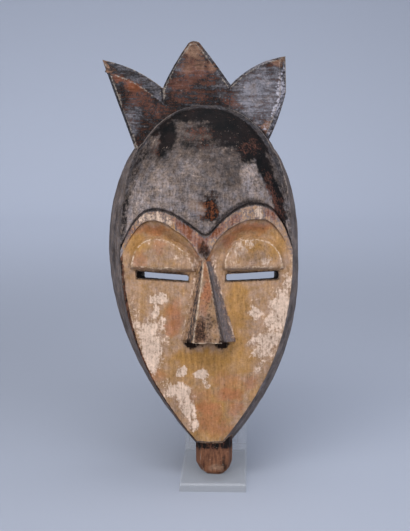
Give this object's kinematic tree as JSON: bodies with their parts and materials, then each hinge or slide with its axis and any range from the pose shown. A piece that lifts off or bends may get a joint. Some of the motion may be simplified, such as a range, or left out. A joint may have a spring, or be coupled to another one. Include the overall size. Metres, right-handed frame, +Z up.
{
  "type": "carved face mask on a stand",
  "caption": "Carved wooden shield-shaped face mask with a pointed crown, eye slits and a peg under the chin, leaning on a clear acrylic stand.",
  "frame": {"origin": "under the middle of the whole, on the surface that the stand's base lies on", "axes": "+Z up, -Y the way the face looks, +X to the right as seen from in front"},
  "size_m": [0.188, 0.1368, 0.4098],
  "materials": {
    "carved_wood": "dark stained and painted hardwood, worn, low sheen",
    "clear_acrylic": "clear cast acrylic with polished edges"
  },
  "bodies": {
    "root": {"mask": "carved_wood", "stand_base": "clear_acrylic", "stand_upright": "clear_acrylic"}
  },
  "joints": []
}
